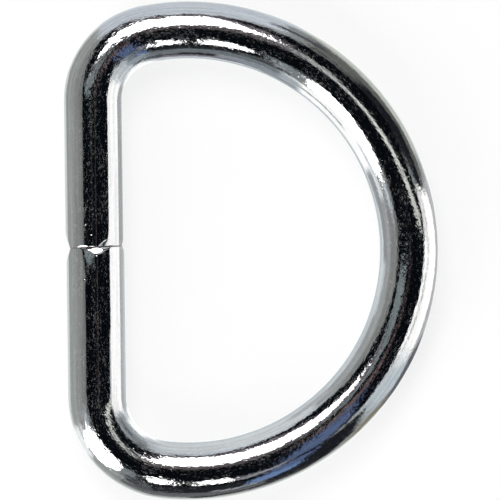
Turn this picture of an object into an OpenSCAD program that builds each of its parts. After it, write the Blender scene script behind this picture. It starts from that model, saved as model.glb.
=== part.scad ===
// D ring for a strap: one round steel wire bent to a D and plated.
// It lies flat on Z = 0 with the strap bar along Y on the -X side and the bow
// towards +X. The origin is under the middle of the ring's outline.
// The wire's two ends meet in a butt joint near the middle of the bar.

/* [Wire] */
// Diameter of the round wire
wire_d = 3.8; // [2.4:0.1:5]

/* [Opening] */
// Inside width of the bow, which is the width of strap that the ring takes
strap_w = 25; // [22:0.5:32]
// Inside depth from the bar to the far side of the bow
opening_depth = 16.7; // [13:0.1:19]
// Inside radius of the bend at the bar's upper end
upper_bend_r = 2.5; // [1:0.1:4]
// Inside radius of the bend at the bar's lower end
lower_bend_r = 3; // [1:0.1:4]

/* [Butt joint] */
// Distance of the joint from the ring's middle line, towards the upper bend
joint_offset = 0.3; // [-3:0.1:3]
// Hairline gap between the wire's two ends
joint_gap = 0.06; // [0.04:0.02:0.4]
// Sideways step from the upper end to the lower end, towards the bow
joint_step = 0.04; // [0:0.02:0.4]
// Rounding of the rim of both ends
rim_r = 0.06; // [0.04:0.02:0.3]

/* [Sheared ends] */
// Length along the wire of the upper end's outer bevel
upper_bevel_l = 0.9; // [0.4:0.1:2.4]
// Depth of the upper end's outer bevel at its end face
upper_bevel_d = 0.28; // [0.05:0.01:0.6]
// Length along the wire of the lower end's outer bevel
lower_bevel_l = 0.9; // [0.4:0.1:2.4]
// Depth of the lower end's outer bevel at its end face
lower_bevel_d = 0.27; // [0.05:0.01:0.6]
// Length along the wire of the pinch that the shear left on the lower end
pinch_l = 0.46; // [0.2:0.02:1.5]
// Depth of that pinch at the end face, on the front and on the back
pinch_d = 0.16; // [0.05:0.01:0.5]

/* [Hidden] */
$fn = 96;

// Radii and angles are kept to the nearest thousandth, and places are reached in
// a coarse and a fine step, so that stretches of wire that meet share one end disc
function thousandths(v) = round(1000 * v) / 1000;

wire_r = wire_d / 2;
bow_r = thousandths(strap_w / 2 + wire_r);

// The bow is one arc about (0, 0) before the ring is centred
upper_bar_x = bow_r - wire_d - opening_depth;
lower_bar_x = upper_bar_x + joint_step;
upper_end_y = joint_offset + joint_gap / 2;
lower_end_y = joint_offset - joint_gap / 2;

// Centreline radius of a bend
function bend_r(inside_r) = thousandths(inside_r + wire_r);

// Angle of the point where the bow runs into the bend that leads to a bar at bar_x
function bow_end(bar_x, inside_r) =
    let (r = bend_r(inside_r))
    thousandths(acos((bar_x + r) / (bow_r - r)));

upper_bow_end = bow_end(upper_bar_x, upper_bend_r);
lower_bow_end = bow_end(lower_bar_x, lower_bend_r);

// Sides of an end, as angles about the wire from the side towards the bow
OUTER = 180;
FRONT = 90;
BACK = -90;

module at(place) {
    coarse = [for (c = place) round(100 * c) / 100];
    translate(coarse) translate(place - coarse) children();
}

// A stretch of wire bent about the origin
module bent(radius, from, to)
    rotate_extrude(angle = to - from, start = from)
        translate([radius, 0]) circle(r = wire_r);

// A straight stretch along +Z, with a rounded rim at its far end
module straight(length)
    rotate_extrude() {
        square([wire_r, length - rim_r]);
        square([wire_r - rim_r, length]);
        translate([wire_r - rim_r, length - rim_r]) intersection() {
            circle(r = rim_r);
            square(rim_r);
        }
    }

// What a slanting cut takes off one side of an end, whose face is at Z = 0 and
// whose wire runs along +Z
module bevel(side, length, depth)
    rotate([0, 0, side])
        translate([wire_r, 0, length])
            rotate([0, atan2(depth, length), 0])
                translate([0, -wire_d, -wire_d]) cube(2 * wire_d);

// The bend from the bow's end to the bar, and the bar as far as its end at end_y.
// What its children draw is taken off that end.
module bend_and_bar(bow_end, inside_r, end_y) {
    r = bend_r(inside_r);
    centre = (bow_r - r) * [cos(bow_end), sin(bow_end), 0];
    bar_l = centre[1] - end_y;
    at(centre) {
        bent(r, bow_end, 180);
        at([-r, 0, 0]) rotate([90, 0, 0]) difference() {
            straight(bar_l);
            translate([0, 0, bar_l]) mirror([0, 0, 1]) children();
        }
    }
}

module bent_wire() color([0.78, 0.79, 0.8])
    translate([-(bow_r + upper_bar_x) / 2, 0, wire_r]) {
        bent(bow_r, -lower_bow_end, upper_bow_end);
        bend_and_bar(upper_bow_end, upper_bend_r, upper_end_y)
            bevel(OUTER, upper_bevel_l, upper_bevel_d);
        mirror([0, 1, 0])
            bend_and_bar(lower_bow_end, lower_bend_r, -lower_end_y) {
                bevel(OUTER, lower_bevel_l, lower_bevel_d);
                bevel(FRONT, pinch_l, pinch_d);
                bevel(BACK, pinch_l, pinch_d);
            }
    }

bent_wire();
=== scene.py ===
import math

import bpy
import numpy as np
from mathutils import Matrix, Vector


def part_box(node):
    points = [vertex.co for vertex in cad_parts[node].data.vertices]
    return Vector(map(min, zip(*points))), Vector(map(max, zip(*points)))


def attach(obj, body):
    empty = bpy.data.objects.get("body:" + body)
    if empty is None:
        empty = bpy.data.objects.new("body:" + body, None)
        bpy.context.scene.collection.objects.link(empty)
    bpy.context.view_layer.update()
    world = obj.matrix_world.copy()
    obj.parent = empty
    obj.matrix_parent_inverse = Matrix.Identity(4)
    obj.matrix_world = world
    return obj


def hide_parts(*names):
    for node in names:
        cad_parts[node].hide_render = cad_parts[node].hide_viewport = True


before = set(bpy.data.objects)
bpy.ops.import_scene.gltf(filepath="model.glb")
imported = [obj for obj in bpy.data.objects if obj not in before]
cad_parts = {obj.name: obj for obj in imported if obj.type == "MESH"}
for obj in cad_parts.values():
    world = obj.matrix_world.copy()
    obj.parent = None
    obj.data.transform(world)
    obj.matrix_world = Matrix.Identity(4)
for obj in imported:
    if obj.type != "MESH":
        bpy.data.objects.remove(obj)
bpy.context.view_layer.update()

MM = 0.001
MICROMETRE = 1e-6

# Sizes that the frame gives, in metres
LOW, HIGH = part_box("bent_wire")
WIRE_R = (HIGH[2] - LOW[2]) / 2
BOW_R = (HIGH[1] - LOW[1]) / 2 - WIRE_R
BOW_X = HIGH[0] - WIRE_R - BOW_R
UPPER_BAR_X = LOW[0] + WIRE_R

# The wire's own details, as the CAD has them
LOWER_BAR_X = UPPER_BAR_X + 0.04 * MM
UPPER_BEND_R = WIRE_R + 2.5 * MM
LOWER_BEND_R = WIRE_R + 3.0 * MM
JOINT_Y = 0.3 * MM

# The joint's hairline and slant, and the rim and crown of an end face, which are finer
# here than in the CAD
JOINT_GAP = 0.024 * MM
JOINT_SLANT = math.radians(1.5)
JOINT_SLANT_REACH = 0.8 * MM
RIM_R = 0.025 * MM
END_CROWN = 0.01 * MM
CROWN_POWER = 8

# Directions about the wire, in degrees
OUTWARD, UP, INWARD, DOWN = 0, 90, 180, 270

# What the shear and the press took off each end: direction, length and depth
UPPER_END_CUTS = [
    (OUTWARD, 0.9 * MM, 0.28 * MM),
    (OUTWARD + 12, 0.2 * MM, 0.1 * MM),
    (INWARD, 0.4 * MM, 0.12 * MM),
    (UP + 34, 0.8 * MM, 0.05 * MM),
    (UP + 28, 0.45 * MM, 0.15 * MM),
    (DOWN - 28, 0.3 * MM, 0.1 * MM),
    (UP - 24, 0.1 * MM, 0.05 * MM),
    (UP - 7, 0.08 * MM, 0.04 * MM),
]
LOWER_END_CUTS = [
    (OUTWARD, 0.9 * MM, 0.27 * MM),
    (INWARD, 0.3 * MM, 0.14 * MM),
    (UP + 2, 0.44 * MM, 0.13 * MM),
    (UP - 10, 0.2 * MM, 0.16 * MM),
    (UP + 12, 0.18 * MM, 0.15 * MM),
    (UP - 14, 1.05 * MM, 0.05 * MM),
    (DOWN, 0.46 * MM, 0.16 * MM),
]

# How far the corners between cuts are rounded off, and the least share of a direction
# that has to face a cut for the cut to reach it
CUT_BLEND = 0.012 * MM
LEAST_FACING = 0.05

# How finely the wire is meshed. A step grows with the distance from the end, and the
# last one may be longer by the given factor.
SIDES = 120
STEP = 0.14 * MM
FIRST_STEP = 0.006 * MM
STEP_GROWTH = 0.12
LAST_STEP = 1.5

# The rings that close an end face, as shares of its rim
CAP_RINGS = [0.96, 0.85, 0.6, 0.3]


def new_object(name, points, faces):
    mesh = bpy.data.meshes.new(name)
    mesh.from_pydata([tuple(p) for p in points], [], faces)
    made = bpy.data.objects.new(name, mesh)
    bpy.context.scene.collection.objects.link(made)
    return made


def new_material(name):
    material = bpy.data.materials.new(name)
    material.use_nodes = True
    return material


def store(mesh, name, kind, field, values):
    """Keeps values at the mesh's points, for its material to read."""
    attribute = mesh.attributes.new(name, kind, "POINT")
    attribute.data.foreach_set(field, values.astype(np.float32).ravel())


def stations_from_end(length):
    """Distances from the wire's end, close together at the end, up to length."""
    out = [0.0]
    step = FIRST_STEP
    while out[-1] + LAST_STEP * step < length:
        out.append(out[-1] + step)
        step = min(STEP, FIRST_STEP + STEP_GROWTH * out[-1])
    return np.array(out + [length])


def half_path(bar_x, bend_r, end_y):
    """Stations from the bar's end to the middle of the bow, for Y > 0.

    Each row is x, y, the outward direction's x and y, and the distance from the end.
    """
    bend_x = bar_x + bend_r - BOW_X
    bow_end = math.acos(bend_x / (BOW_R - bend_r))
    bend_y = (BOW_R - bend_r) * math.sin(bow_end)
    bar_l = bend_y - end_y
    bend_l = bend_r * (math.pi - bow_end)
    rows = []
    for d in stations_from_end(bar_l + bend_l + BOW_R * bow_end):
        if d < bar_l:
            rows.append((bar_x, end_y + d, -1.0, 0.0, d))
        elif d < bar_l + bend_l:
            a = math.pi - (d - bar_l) / bend_r
            c, s = math.cos(a), math.sin(a)
            rows.append((BOW_X + bend_x + bend_r * c, bend_y + bend_r * s, c, s, d))
        else:
            a = bow_end - (d - bar_l - bend_l) / BOW_R
            c, s = math.cos(a), math.sin(a)
            rows.append((BOW_X + BOW_R * c, BOW_R * s, c, s, d))
    return np.array(rows)


def halves():
    """Stations of the upper and the lower half of the wire, each from its end."""
    return (half_path(UPPER_BAR_X, UPPER_BEND_R, JOINT_Y + JOINT_GAP / 2),
            half_path(LOWER_BAR_X, LOWER_BEND_R, -(JOINT_Y - JOINT_GAP / 2)))


def whole_loop():
    """Stations from the upper end round the bow to the lower end, with the distance from
    the bow's middle in place of the distance from the end."""
    upper, lower = halves()
    lower = lower * [1, -1, 1, -1, 1]
    upper[:, 4] = upper[-1, 4] - upper[:, 4]
    lower[:, 4] = lower[:, 4] - lower[-1, 4]
    return np.concatenate([upper, lower[-2::-1]])


def soft_min(a, b):
    """The smaller of two lengths, with the corner between them rounded off."""
    low = np.minimum(a, b)
    return low - CUT_BLEND * np.log(np.exp((low - a) / CUT_BLEND) + np.exp((low - b) / CUT_BLEND))


def wire_radius(d, angle, cuts):
    """The wire's radius at distance d from an end, in each direction about the wire."""
    r = np.full(np.broadcast(d, angle).shape, WIRE_R)
    for side, length, depth in cuts:
        facing = np.cos(angle - math.radians(side))
        plane = (WIRE_R - depth * (1 - d / length)) / np.maximum(facing, LEAST_FACING)
        r = np.where(facing > LEAST_FACING, soft_min(r, np.minimum(plane, 2 * WIRE_R)), r)
    lost = RIM_R - np.sqrt(np.maximum(RIM_R ** 2 - np.maximum(RIM_R - d, 0) ** 2, 0))
    return r - lost


def half_surface(rows, cuts, flip):
    """Rings of points of one half of the wire, which a flip of -1 turns to Y < 0.

    Each point is x, y, z and its place on the wire: outward, up, distance from the
    bow's middle and distance from the end.
    """
    angle = np.radians(np.arange(SIDES) * 360 / SIDES)[None, :]
    x, y, nx, ny, d = [rows[:, k][:, None] for k in range(5)]
    r = wire_radius(d, angle, cuts)
    out = r * np.cos(angle)
    up = r * np.sin(angle)
    slant = math.tan(JOINT_SLANT) * np.exp(-(d / JOINT_SLANT_REACH) ** 2)
    px = x + nx * out
    py = flip * (y + ny * out) + slant * (px - UPPER_BAR_X)
    pz = WIRE_R + up
    along = flip * (rows[-1, 4] - d)
    return np.stack([px, py, pz + 0 * px, out, up, along + 0 * px, d + 0 * px], axis=-1)


def end_cap(ring, towards):
    """Rings that close an end with a low crown, from the rim inwards, and its middle."""
    centre = ring.mean(axis=0)
    crown = np.zeros(len(centre))
    crown[1] = towards * END_CROWN
    rings = [centre + k * (ring - centre) + (1 - k ** CROWN_POWER) * crown for k in CAP_RINGS]
    return np.array(rings), centre + crown


def wire_rings():
    """The closed wire as rings from the upper end to the lower one, and the middles of
    both end faces."""
    upper_rows, lower_rows = halves()
    upper = half_surface(upper_rows, UPPER_END_CUTS, 1)
    lower = half_surface(lower_rows, LOWER_END_CUTS, -1)
    # Both halves hold the ring at the bow's middle
    rings = np.concatenate([upper, lower[-2::-1]])
    upper_cap, upper_middle = end_cap(rings[0], -1)
    lower_cap, lower_middle = end_cap(rings[-1], 1)
    rings = np.concatenate([upper_cap[::-1], rings, lower_cap])
    return rings, np.array([upper_middle, lower_middle])


def tube_faces(count):
    """Faces of a tube of count rings, with a fan round a middle point at each end."""
    faces = []
    for i in range(count - 1):
        this, following = i * SIDES, (i + 1) * SIDES
        for j in range(SIDES):
            k = (j + 1) % SIDES
            faces.append((this + j, this + k, following + k, following + j))
    last_ring = (count - 1) * SIDES
    first_middle = count * SIDES
    for j in range(SIDES):
        k = (j + 1) % SIDES
        faces.append((first_middle, k, j))
        faces.append((first_middle + 1, last_ring + j, last_ring + k))
    return faces


def plated_wire():
    """The whole wire as one closed mesh."""
    rings, middles = wire_rings()
    points = np.concatenate([rings.reshape(-1, rings.shape[-1]), middles])
    piece = new_object("plated_wire", points[:, :3], tube_faces(len(rings)))
    mesh = piece.data
    mesh.polygons.foreach_set("use_smooth", [True] * len(mesh.polygons))
    store(mesh, "wire_mm", "FLOAT_VECTOR", "vector", points[:, 3:6] / MM)
    store(mesh, "from_end_mm", "FLOAT", "value", points[:, 6] / MM)
    mesh.validate()
    return piece


class Nodes:
    """Short ways to make and join the nodes of one tree."""

    def __init__(self, tree):
        self.nodes, self.links = tree.nodes, tree.links

    def add(self, kind, **settings):
        n = self.nodes.new(kind)
        for key, value in settings.items():
            setattr(n, key, value)
        return n

    def put(self, value, socket):
        if isinstance(value, bpy.types.NodeSocket):
            self.links.new(value, socket)
        else:
            socket.default_value = value

    def maths(self, operation, *values):
        n = self.add("ShaderNodeMath", operation=operation)
        for k, v in enumerate(values):
            self.put(v, n.inputs[k])
        return n.outputs[0]

    def total(self, *values):
        out = values[0]
        for v in values[1:]:
            out = self.maths("ADD", out, v)
        return out

    def vector_maths(self, operation, output, vector, other):
        n = self.add("ShaderNodeVectorMath", operation=operation)
        self.put(vector, n.inputs[0])
        n.inputs[1].default_value = other
        return n.outputs[output]

    def scaled(self, vector, factors):
        return self.vector_maths("MULTIPLY", "Vector", vector, factors)

    def distance(self, vector, point):
        return self.vector_maths("DISTANCE", "Value", vector, point)

    def dot(self, vector, other):
        return self.vector_maths("DOT_PRODUCT", "Value", vector, other)

    def split(self, vector):
        """The vector's three parts."""
        n = self.add("ShaderNodeSeparateXYZ")
        self.put(vector, n.inputs[0])
        return n.outputs

    def named(self, attribute, output):
        return self.add("ShaderNodeAttribute", attribute_name=attribute).outputs[output]

    def ramp(self, value, start, end, low=0.0, high=1.0):
        """low below start, high above end, smooth between."""
        n = self.add("ShaderNodeMapRange", interpolation_type="SMOOTHSTEP")
        self.put(value, n.inputs["Value"])
        n.inputs["From Min"].default_value = start
        n.inputs["From Max"].default_value = end
        n.inputs["To Min"].default_value = low
        n.inputs["To Max"].default_value = high
        return n.outputs["Result"]

    def band(self, value, start, end, softness):
        """1 between start and end, 0 outside."""
        rise = self.ramp(value, start - softness / 2, start + softness / 2)
        fall = self.ramp(value, end - softness / 2, end + softness / 2, 1, 0)
        return self.maths("MULTIPLY", rise, fall)

    def mix(self, factor, below, above):
        n = self.add("ShaderNodeMix", data_type="RGBA")
        self.put(factor, n.inputs["Factor"])
        self.put(below, n.inputs[6])
        self.put(above, n.inputs[7])
        return n.outputs[2]

    def noise(self, vector, scale, detail, roughness):
        n = self.add("ShaderNodeTexNoise")
        self.put(vector, n.inputs["Vector"])
        n.inputs["Scale"].default_value = scale
        n.inputs["Detail"].default_value = detail
        n.inputs["Roughness"].default_value = roughness
        return n.outputs["Fac"]

    def cells(self, vector, scale):
        """Distance to the nearest of scattered points, and that point's own random number."""
        n = self.add("ShaderNodeTexVoronoi")
        self.put(vector, n.inputs["Vector"])
        n.inputs["Scale"].default_value = scale
        random = self.add("ShaderNodeSeparateColor")
        self.links.new(n.outputs["Color"], random.inputs[0])
        return n.outputs["Distance"], random.outputs[0]


# Colours of the plating, of its duller streaks and of a sheared end face
PLATING = (0.6, 0.605, 0.61)
SHADED_PLATING = (0.45, 0.452, 0.455)
END_FACE = (0.09, 0.06, 0.045)

# Patterns in the plating: scale, detail and roughness of the noise
DRAWN_LINES = (9, 2, 0.6)
BROAD_LINES = (2.6, 2, 0.5)
SKIN = (5, 2, 0.6)
WAVES = (0.8, 1, 0.5)
PIT_CROWDS = (0.9, 2, 0.6)
STREAKS = (5, 3, 0.65)
MOTTLE = (7, 2, 0.6)
SMEARS = (3.5, 3, 0.6)
DUST_GRAIN = (8, 3, 0.7)
DUST_PATCHES = (1.3, 2, 0.6)
PITS_SCALE = 8

# How the patterns are drawn out along the wire: the last number is smaller for a longer one
LINES_DRAWN = (1, 1, 0.025)
SKIN_DRAWN = (1, 1, 0.4)
SPECKS_DRAWN = (1, 1, 0.5)
PITS_DRAWN = (1, 1, 0.6)

# What a pattern turns into: from and to in the pattern, and the values there
CROWD_RAMP = (0.35, 0.7, 0.1, 0.7)
PIT_RAMP = (0.12, 0.4, 1, 0)
STREAK_RAMP = (0.35, 0.65, 0, 0.7)
MOTTLE_RAMP = (0.3, 0.7, 0, 0.3)
SMEAR_RAMP = (0.35, 0.75, 0.025, 0.06)
PATCH_RAMP = (0.3, 0.7, -0.07, 0.05)
DUST_RAMP = (0.52, 0.69, 0, 1)

# Where the end face's steel gives way to the plating, in mm from the end
END_FACE_RAMP = (0.01, 0.045, 1, 0)

# Roughness that the pits and the end face add, and the dust's own roughness and index
PIT_ROUGH = 0.05
END_FACE_ROUGH = 0.4
DUST_ROUGH = 0.45
DUST_IOR = 2.0

# Depths of the surface's relief, in micrometres
DRAWN_LINES_UM = 0.9
BROAD_LINES_UM = 1.6
PEEL_UM = 11.0
WAVES_UM = 2.5
PITS_UM = 1.5

# Distances from the middle of the bow, in mm, between which the bar's smoother skin
# starts, and where the bends' coarser skin lies
BAR_FROM, BAR_TO = 29, 33
BAR_PEEL = 0.25
BEND_FROM, BEND_TO = 24.5, 30.5
BEND_EASE = 3
BEND_PEEL = 1.2

# Small nicks beside the joint: outward, up and along the wire, in mm
NICKS = [(0.19, 1.89, 39.95), (0.56, 1.81, 39.34), (-0.09, 1.9, -40.66), (0.72, 1.76, -39.05)]
NICK_R = 0.08
NICK_UM = 12


def coarseness(n, place):
    """How coarse the skin is: smoother on the bar, and coarser where the wire was bent."""
    far = n.maths("ABSOLUTE", n.split(place)[2])
    bend = n.maths("MULTIPLY", n.band(far, BEND_FROM, BEND_TO, BEND_EASE), BEND_PEEL)
    return n.total(n.ramp(far, BAR_FROM, BAR_TO, 1, BAR_PEEL), bend)


def pit_mask(n, place):
    """1 in a small pit, 0 beside it. There are more of them in some places than in others."""
    distance, chance = n.cells(n.scaled(place, PITS_DRAWN), PITS_SCALE)
    crowd = n.ramp(n.noise(place, *PIT_CROWDS), *CROWD_RAMP)
    taken = n.maths("LESS_THAN", chance, crowd)
    return n.maths("MULTIPLY", n.ramp(distance, *PIT_RAMP), taken)


def relief(n, place, along, pit):
    """The surface's height in micrometres: lines that the drawing die left along the wire,
    the plating's own skin, pits and nicks."""
    drawn = n.maths("MULTIPLY", n.noise(along, *DRAWN_LINES), DRAWN_LINES_UM)
    broad = n.maths("MULTIPLY", n.noise(along, *BROAD_LINES), BROAD_LINES_UM)
    skin = n.maths("MULTIPLY", n.noise(n.scaled(place, SKIN_DRAWN), *SKIN), PEEL_UM)
    peel = n.maths("MULTIPLY", skin, coarseness(n, place))
    waves = n.maths("MULTIPLY", n.noise(place, *WAVES), WAVES_UM)
    pits = n.maths("MULTIPLY", pit, -PITS_UM)
    nicks = n.total(*[n.ramp(n.distance(place, nick), 0, NICK_R, -NICK_UM, 0) for nick in NICKS])
    return n.total(drawn, broad, peel, waves, pits, nicks)


def streaked_plating(n, place, along):
    """The plating's colour, with faint streaks along the wire."""
    streaks = n.ramp(n.noise(along, *STREAKS), *STREAK_RAMP)
    mottle = n.ramp(n.noise(n.scaled(place, SPECKS_DRAWN), *MOTTLE), *MOTTLE_RAMP)
    return n.mix(n.total(streaks, mottle), (*SHADED_PLATING, 1), (*PLATING, 1))


def dust(n, place):
    """A thin haze of dust, in specks."""
    grain = n.noise(n.scaled(place, SPECKS_DRAWN), *DUST_GRAIN)
    patches = n.ramp(n.noise(n.scaled(place, SKIN_DRAWN), *DUST_PATCHES), *PATCH_RAMP)
    return n.ramp(n.total(grain, patches), *DUST_RAMP)


def plating_material():
    material = new_material("bright_plating")
    n = Nodes(material.node_tree)
    place = n.named("wire_mm", "Vector")
    along = n.scaled(place, LINES_DRAWN)
    pit = pit_mask(n, place)
    bump = n.add("ShaderNodeBump")
    bump.inputs["Strength"].default_value = 1.0
    bump.inputs["Distance"].default_value = MICROMETRE
    n.put(relief(n, place, along, pit), bump.inputs["Height"])

    # The dull steel of the sheared end faces
    end_face = n.ramp(n.named("from_end_mm", "Fac"), *END_FACE_RAMP)
    colour = n.mix(end_face, streaked_plating(n, place, along), (*END_FACE, 1))
    smear = n.ramp(n.noise(along, *SMEARS), *SMEAR_RAMP)
    pit_rough = n.maths("MULTIPLY", pit, PIT_ROUGH)
    end_rough = n.maths("MULTIPLY", end_face, END_FACE_ROUGH)

    shader = n.nodes["Principled BSDF"]
    shader.inputs["Metallic"].default_value = 1.0
    shader.inputs["Coat Roughness"].default_value = DUST_ROUGH
    shader.inputs["Coat IOR"].default_value = DUST_IOR
    n.put(colour, shader.inputs["Base Color"])
    n.put(n.total(smear, pit_rough, end_rough), shader.inputs["Roughness"])
    n.put(dust(n, place), shader.inputs["Coat Weight"])
    n.put(bump.outputs["Normal"], shader.inputs["Normal"])
    return material


# The studio that the plating reflects, as flat panels and lines on the sky. A
# corner is in degrees from straight up, towards +X and towards +Y. The tone is the
# display level that it shows in the plating, and may pass 255 for a light.

# Tones that many panels share
DARK = (6, 9, 13)
LIGHT = (430, 430, 430)

# Degrees from straight up, and the level of gray there
BASE = [(46, 108), (54, 122), (60, 125), (76, 131), (95, 147), (116, 147), (127, 139),
    (134, 158), (142, 192), (156, 212)]

# Name, tone, softness of the edge and corners of each panel; later ones lie on top
PANELS = [
    ("far_wall", (184, 190, 197), 16, [(38, 66), (76, 150), (-110, 140), (-54, 54)]),
    ("far_right", (184, 187, 182), 12, [(110, 44), (140, 60), (90, 130), (62, 112)]),
    ("left_floor", (190, 196, 194), 4, [(-134, -60), (-134, 60), (-176, 60), (-176, -60)]),
    ("low_gray", (94, 96, 100), 10, [(58, -88), (68, -104), (20, -126), (-34, -122), (-64, -104),
        (-58, -86)]),
    ("cupboard_edge", (126, 130, 131), 6, [(27, 59), (36, 54), (52, 80), (64, 106), (50, 112),
        (38, 84)]),
    ("cupboard_far", (92, 94, 91), 6, [(60, 14), (110, 24), (104, 56), (84, 78), (58, 98), (42, 70),
        (33, 55)]),
    ("cupboard", (24, 27, 31), 8, [(60, 15), (90, 20), (88, 50), (66, 62), (44, 46)]),
    ("cupboard_sill", (112, 120, 124), 4, [(58, 16), (67, 17.5), (65, 23), (57, 22)]),
    ("far_right_low", (170, 171, 174), 8, [(100, 30), (100, -50), (150, -60), (165, 0), (150, 40)]),
    ("right_wall", (258, 258, 257), 5, [(50, 13), (80, 20), (112, 26), (125, 16), (131, -6),
        (124, -22), (108, -42), (92, -50), (70, -44), (40, -22)]),
    ("shelf", (215, 213, 212), 4, [(58, 3), (60, 14), (73, 18), (74, 3)]),
    ("low_right_gray", (90, 90, 96), 8, [(100, -52), (77, -66), (96, -100), (124, -88), (149, -68),
        (144, -52)]),
    ("right_wall_foot", (182, 192, 198), 15, [(43, -24), (104, -53), (98, -70), (80, -72), (52, -50),
        (36, -36)]),
    ("box", (130, 122, 108), 8, [(82, -76), (96, -72), (106, -84), (96, -106), (78, -110)]),
    ("low_left_wall", (222, 226, 227), 10, [(-70, -50), (-108, -82), (-140, -90), (-155, -55),
        (-112, -36), (-84, -30)]),
    ("under_bench_left", (60, 64, 68), 8, [(-22, -58), (-24, -98), (-50, -84), (-34, -56)]),
    ("under_bench", (30, 32, 36), 8, [(26, -56), (30, -92), (20, -98), (-24, -98), (-20, -58)]),
    ("low_right_dark", (26, 28, 33), 5, [(28, -46), (50, -46), (74, -82), (69, -104), (54, -113),
        (33, -106), (21, -62)]),
    ("blue_cloth", (98, 121, 160), 4, [(18, -62), (28, -58), (38, -74), (36, -80), (27, -88),
        (20, -86)]),
    ("ceiling", DARK, 4, [(-43, 1), (-38, -14), (-22, -62), (-15, -63), (20, -68), (36, -38),
        (41, -24), (50, 10), (57, 36), (38, 50), (19, 60), (5, 64), (-27, 65), (-47, 54), (-49, 24)]),
    ("ceiling_right", DARK, 4, [(38, -30), (53, -16), (64, -3), (64, 5), (60, 15), (30, 20),
        (20, -20)]),
    ("ceiling_left", (114, 123, 125), 2.4, [(-6, 1.1), (-33, 2.6), (-33, 8), (-24, 15), (-12, 14),
        (-5, 9)]),
    ("glow", (166, 172, 169), 5, [(4, 12.5), (8.5, 8.5), (20, 9), (18, 15), (13, 22), (8, 23)]),
    ("lamp_streak", (205, 208, 202), 3, [(11, 8), (56, 3.5), (55, 8), (30, 12), (13, 15)]),
    ("window_surround", (92, 86, 92), 6, [(-21, 8), (-30, 28), (-28, 48), (-16, 60), (9, 61), (15, 44),
        (15, 27), (6, 11)]),
    ("window_up", LIGHT, 3, [(-22.9, 15.7), (-25, 19), (-26, 28), (-24, 38), (-15.5, 47), (-5, 52),
        (4, 53), (7, 47), (9.3, 36), (10.8, 28), (9.4, 22.5), (0, 19.5)]),
    ("window_shade", (84, 78, 80), 5, [(-4, 5), (3, 7), (9, 23), (-2, 20)]),
    ("window_glow", (178, 186, 194), 9, [(-52, -7), (-62, -12), (-64, -26), (-50, -19)]),
    ("window_left", LIGHT, 3, [(-33, -24), (-45, -20), (-58, -21), (-86, -36), (-88, -54), (-61, -66),
        (-43.5, -57.5), (-27.7, -37.4), (-26, -29)]),
    ("pane_glow", (136, 138, 144), 5, [(12, -44), (22, -45), (20, -53), (10, -58)]),
    ("beside_window", (118, 126, 130), 6, [(-17, -39), (-24, -35), (-41, -54.5), (-30, -61)]),
    ("low_pane_left", LIGHT, 3, [(-4.7, -35), (-10, -38.5), (-16, -45), (-14.5, -54), (-4.7, -57)]),
    ("low_pane_right", LIGHT, 4, [(2, -43), (4, -40.5), (7, -44), (9, -56), (2, -57)]),
    ("blue_stripe_foot", (78, 92, 124), 4, [(27, -50), (36, -54), (33, -66), (21, -68), (19, -52)]),
    ("blue_stripe_top", (78, 92, 124), 4, [(6, -9), (10, -9.5), (15, -14), (10, -16)]),
    ("blue_stripe", (78, 92, 124), 4, [(10, -16), (15, -14), (30, -31), (31, -43), (18, -44)]),
    ("copper_trim", (100, 84, 83), 3, [(2, -1.5), (8, -2.5), (13, -10), (6, -10)]),
]

# Name, tone, width, softness of the edge and corners of each line
LINES = [
    ("wall_rail", (188, 188, 189), 6, 3, [(78, 12), (82, -3), (67, -20.5), (51, -34)]),
    ("cornice", (108, 112, 111), 3, 2, [(-49, 22), (-49, -12)]),
    ("ceiling_trim", (50, 46, 47), 3.2, 1.5, [(7.2, -0.3), (7.2, -2.5)]),
    ("floor_edge", (58, 57, 58), 12, 5, [(56, -110), (36, -113), (20, -117), (4, -128)]),
    ("cupboard_gap", (50, 54, 54), 4, 3, [(39, 60), (50, 51)]),
    ("cupboard_shelf", (68, 73, 80), 12, 5, [(38, 85), (50, 79)]),
    ("wall_line", (172, 172, 176), 8, 5, [(-88, -61), (-102, -31)]),
    ("bench_edge", (142, 149, 153), 7, 5, [(24, -91), (12, -96)]),
]

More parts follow.
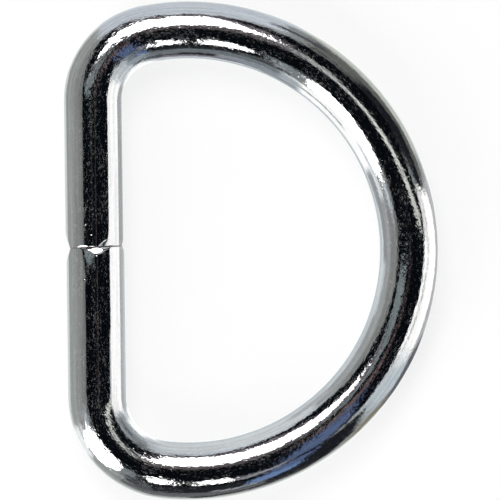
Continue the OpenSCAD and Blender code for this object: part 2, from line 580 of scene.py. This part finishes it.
# Painted reflections, as zones of a glowing card that only the wire's inner side shows:
# name, tone, from and to in mm from the middle of the bow, and from and to in degrees
# from straight up; later ones lie on top
INNER_BASE = (190, 197, 200)
INNER = [
    ("rim", (172, 179, 184), -45, 45, 141, 175),
    ("across", (148, 151, 151), -13, 4, 60, 106),
    ("across_step", (140, 143, 145), -1, 7.6, 98, 123),
    ("across_shade", (144, 148, 152), 3, 7.4, 118, 131),
    ("across_low", (157, 161, 164), -12, -5, 104, 117),
    ("low_wall", (191, 196, 199), -25.5, -14, 60, 128),
    ("low_fold", (170, 174, 178), -15, -11.5, 98, 127),
    ("window", (249, 250, 249), 5.9, 14, 60, 134),
    ("window_bar", (146, 149, 153), 9.5, 15, 100, 107),
    ("window_edge", (160, 168, 172), 13.8, 15.4, 90, 124),
    ("window_foot", (138, 142, 150), 13.8, 17, 121, 142),
    ("window_side", (212, 217, 220), 3.6, 7.8, 81, 98),
    ("top_gray", (104, 111, 116), 15.4, 27, 60, 102),
    ("top_step", (134, 140, 147), 15.4, 20.2, 102, 134),
    ("top_dark", (45, 42, 46), 20.2, 23.6, 101, 119),
    ("top_shade", (72, 74, 78), 23.2, 27.2, 102, 119),
    ("top_lavender", (116, 113, 127), 18.6, 25.6, 119, 130),
    ("top_bend", (140, 149, 157), 25.6, 28.6, 48, 102),
    ("top_bend_light", (182, 188, 192), 27.6, 31, 57, 140),
    ("top_bend_white", (250, 252, 252), 26, 28.4, 124, 170),
    ("top_bend_rim", (240, 243, 243), 25, 29.6, 138, 170),
    ("low_bend_side", (178, 184, 190), -26.4, -25, 64, 120),
    ("low_bend", (136, 142, 146), -30.2, -26, 60, 104),
    ("low_bend_core", (84, 88, 92), -29.2, -27.6, 73, 82),
    ("low_bend_dark", (38, 40, 45), -30.2, -25.6, 40, 59),
    ("bend_light", (253, 253, 253), -29, -26.6, 113, 170),
    ("bend_light_rim", (240, 243, 243), -30.2, -25.4, 135, 170),
    ("bar_dark", (8, 11, 15), 29.3, 44, 30, 61),
    ("low_bar_dark", (8, 11, 15), -44, -30, 30, 60),
    ("low_bar_turn", (184, 186, 188), -35.5, -30.5, 54, 62),
    ("bar_light", (246, 246, 246), 29.4, 44, 61, 114),
    ("bar_gray", (157, 158, 159), 29.6, 44, 114, 146),
    ("low_bar_light", (245, 245, 245), -44, -30, 60, 112),
    ("low_bar_gray", (165, 165, 166), -44, -30, 112, 138),
]

# The tint of BASE, which gives levels of gray
BASE_TINT = (0.985, 1.01, 1)
ZENITH_GUARD = 1e-5

# The inner backdrop's distance from the wire's middle line, its rows of points in
# degrees from straight up, and how soft the edges of its zones are, in mm and degrees
BACKDROP_OFF = WIRE_R + 1 * MM
BACKDROP_ANGLES = range(50, 161, 5)
ZONE_SOFT_MM = 1.0
ZONE_SOFT_DEG = 5

# The backdrop covers the sky from these angles on. Beside the bar and the bends it
# starts lower, from these distances from the middle of the bow on, in mm.
COVER_FROM, COVER_TO = 77, 84
LOW_COVER_FROM, LOW_COVER_TO = 52, 56
BAR_SIDE_FROM, BAR_SIDE_TO = 25.5, 28

FLOOR_SIZE = 3
FLOOR_GRAY = 0.2
FLOOR_GLOW = 0.8


def linear(level):
    """A display level from 0 to 255 as light."""
    v = level / 255
    return v / 12.92 if v <= 0.04045 else ((v + 0.055) / 1.055) ** 2.4


def radiance(tone):
    """The light that shows as this tone in the plating."""
    return (*[2 * linear(v) / (p + q) for v, p, q in zip(tone, PLATING, SHADED_PLATING)], 1)


def sky_place(n):
    """The angle from straight up, and the direction as a flat place in degrees with a 1
    behind it."""
    x, y, z = n.split(n.add("ShaderNodeTexCoord").outputs["Generated"])
    square = n.maths("ADD", n.maths("MULTIPLY", x, x), n.maths("MULTIPLY", y, y))
    flat = n.maths("MAXIMUM", n.maths("SQRT", square), ZENITH_GUARD)
    polar = n.maths("DEGREES", n.maths("ARCCOSINE", z))
    spread = n.maths("DIVIDE", polar, flat)
    place = n.add("ShaderNodeCombineXYZ")
    n.put(n.maths("MULTIPLY", x, spread), place.inputs[0])
    n.put(n.maths("MULTIPLY", y, spread), place.inputs[1])
    place.inputs[2].default_value = 1.0
    return polar, place.outputs[0]


def inside(n, place, corners, softness):
    """1 inside a convex panel, 0 outside."""
    nearest = None
    for (ax, ay), (bx, by) in zip(corners, corners[1:] + corners[:1]):
        span = math.hypot(bx - ax, by - ay)
        nx, ny = (by - ay) / span, -(bx - ax) / span
        edge = n.dot(place, (-nx, -ny, nx * ax + ny * ay))
        nearest = edge if nearest is None else n.maths("MINIMUM", nearest, edge)
    return n.ramp(nearest, -softness / 2, softness / 2)


def on_line(n, place, corners, width, softness):
    """1 on a line through the corners, 0 off it."""
    nearest = None
    for (ax, ay), (bx, by) in zip(corners, corners[1:]):
        span = math.hypot(bx - ax, by - ay)
        tx, ty = (bx - ax) / span, (by - ay) / span
        run = n.dot(place, (tx, ty, -tx * ax - ty * ay))
        over = n.maths("SUBTRACT", run, n.maths("MINIMUM", n.maths("MAXIMUM", run, 0), span))
        off = n.dot(place, (-ty, tx, ty * ax - tx * ay))
        square = n.maths("ADD", n.maths("MULTIPLY", over, over), n.maths("MULTIPLY", off, off))
        distance = n.maths("SQRT", square)
        nearest = distance if nearest is None else n.maths("MINIMUM", nearest, distance)
    return n.ramp(nearest, (width - softness) / 2, (width + softness) / 2, 1, 0)


def plain_sky(n, polar):
    """The gray behind all panels, from the rows of BASE."""
    base = n.add("ShaderNodeValToRGB")
    n.put(n.maths("DIVIDE", polar, 180), base.inputs[0])
    stops = base.color_ramp.elements
    stops.remove(stops[1])
    for k, (angle, level) in enumerate(BASE):
        stop = stops.new(angle / 180) if k else stops[0]
        stop.position = angle / 180
        stop.color = radiance([level * tint for tint in BASE_TINT])
    return base.outputs[0]


def anticlockwise(corners):
    area = sum(ax * by - bx * ay for (ax, ay), (bx, by) in zip(corners, corners[1:] + corners[:1]))
    return corners if area >= 0 else corners[::-1]


def studio_world():
    world = bpy.data.worlds.new("studio")
    world.use_nodes = True
    bpy.context.scene.world = world
    n = Nodes(world.node_tree)
    polar, place = sky_place(n)
    colour = plain_sky(n, polar)
    for name, tone, softness, corners in PANELS:
        mask = inside(n, place, anticlockwise(corners), softness)
        colour = n.mix(mask, colour, radiance(tone))
    for name, tone, width, softness, corners in LINES:
        colour = n.mix(on_line(n, place, corners, width, softness), colour, radiance(tone))
    background = n.nodes["Background"]
    n.put(colour, background.inputs["Color"])
    background.inputs["Strength"].default_value = 1.0


def backdrop_points(loop):
    """The backdrop's points, and for each the distance along the wire in mm and the angle
    from straight up at which the wire shows it.

    Each point stands where the wire's inner side, seen from above, reflects it.
    """
    x, y, nx, ny, along = [loop[:, k][:, None] for k in range(5)]
    polar = np.radians(np.array(BACKDROP_ANGLES, float))[None, :]
    inward = BACKDROP_OFF - WIRE_R * np.sin(polar / 2)
    height = WIRE_R * (1 + np.cos(polar / 2)) + inward * np.cos(polar) / np.sin(polar)
    px = x - nx * BACKDROP_OFF + 0 * polar
    py = y - ny * BACKDROP_OFF + 0 * polar
    pz = height + 0 * x
    seen = [along / MM + 0 * polar, np.degrees(polar) + 0 * along, 0 * along + 0 * polar]
    return np.stack([px, py, pz], axis=-1), np.stack(seen, axis=-1)


def grid_faces(columns, rows):
    faces = []
    for i in range(columns - 1):
        this, following = i * rows, (i + 1) * rows
        for j in range(rows - 1):
            faces.append((this + j, following + j, following + j + 1, this + j + 1))
    return faces


def zoned_colour(n, along, polar):
    """The backdrop's glow, which paints the reflections on the wire's inner side, from the rows of
    INNER.
    """
    colour = radiance(INNER_BASE)
    for name, tone, along_from, along_to, polar_from, polar_to in INNER:
        mask = n.maths("MULTIPLY", n.band(along, along_from, along_to, ZONE_SOFT_MM),
                       n.band(polar, polar_from, polar_to, ZONE_SOFT_DEG))
        colour = n.mix(mask, colour, radiance(tone))
    return colour


def painted_reflection_material():
    """Light in the backdrop's colours, clear where the wire shows the sky."""
    material = new_material("painted_reflection_card")
    n = Nodes(material.node_tree)
    along, polar = n.split(n.named("seen", "Vector"))[:2]
    light = n.add("ShaderNodeEmission")
    n.put(zoned_colour(n, along, polar), light.inputs["Color"])
    bar_side = n.ramp(n.maths("ABSOLUTE", along), BAR_SIDE_FROM, BAR_SIDE_TO)
    low_cover = n.maths("MULTIPLY", bar_side, n.ramp(polar, LOW_COVER_FROM, LOW_COVER_TO))
    cover = n.maths("MAXIMUM", low_cover, n.ramp(polar, COVER_FROM, COVER_TO))
    fade = n.add("ShaderNodeMixShader")
    n.put(cover, fade.inputs[0])
    n.put(n.add("ShaderNodeBsdfTransparent").outputs[0], fade.inputs[1])
    n.put(light.outputs[0], fade.inputs[2])
    n.put(fade.outputs[0], n.nodes["Material Output"].inputs["Surface"])
    return material


def painted_reflection_card(loop):
    """A low glowing wall inside the ring that only the plating shows, which paints the reflections on
    the wire's inner side.
    """
    points, seen = backdrop_points(loop)
    wall = new_object("painted_reflection_card", points.reshape(-1, 3), grid_faces(*points.shape[:2]))
    store(wall.data, "seen", "FLOAT_VECTOR", "vector", seen)
    wall.data.materials.append(painted_reflection_material())
    wall.visible_camera = False
    wall.visible_diffuse = False
    wall.visible_shadow = False


def pale_floor():
    """A plain pale floor, left out of what the plating reflects."""
    corners = [(-1, -1), (1, -1), (1, 1), (-1, 1)]
    points = [(FLOOR_SIZE * x, FLOOR_SIZE * y, 0) for x, y in corners]
    floor = new_object("floor", points, [(0, 1, 2, 3)])
    material = new_material("pale_floor")
    shader = material.node_tree.nodes["Principled BSDF"]
    shader.inputs["Base Color"].default_value = (FLOOR_GRAY, FLOOR_GRAY, FLOOR_GRAY, 1)
    shader.inputs["Roughness"].default_value = 1.0
    shader.inputs["Specular IOR Level"].default_value = 0.0
    shader.inputs["Emission Color"].default_value = (1, 1, 1, 1)
    shader.inputs["Emission Strength"].default_value = FLOOR_GLOW
    floor.data.materials.append(material)
    floor.visible_glossy = False


# The photograph's frame, in its own pixels
FRAME_PX = 500
BOW_CENTRE_PX = (188.3, 250.46)
BOW_R_PX = 220.68
RING_TURN = math.radians(0.725)

# A long lens, which looks straight down
LENS = 1000
SENSOR = 36


def photo_camera():
    camera = bpy.data.objects.new("camera", bpy.data.cameras.new("camera"))
    bpy.context.scene.collection.objects.link(camera)
    camera.data.lens = LENS
    camera.data.sensor_width = SENSOR
    px = BOW_R / BOW_R_PX
    right = (FRAME_PX / 2 - BOW_CENTRE_PX[0]) * px
    up = (BOW_CENTRE_PX[1] - FRAME_PX / 2) * px
    c, s = math.cos(-RING_TURN), math.sin(-RING_TURN)
    distance = LENS / SENSOR * FRAME_PX * px
    camera.location = (BOW_X + c * right - s * up, s * right + c * up, WIRE_R + distance)
    camera.rotation_euler = (0, 0, -RING_TURN)
    bpy.context.scene.camera = camera


wire_piece = plated_wire()
wire_piece.data.materials.append(plating_material())
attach(wire_piece, "root")
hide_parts("bent_wire")
pale_floor()
# A glowing card that paints the reflections on the wire's inner side
painted_reflection_card(whole_loop())
studio_world()
photo_camera()
bpy.context.scene.view_settings.view_transform = "Standard"
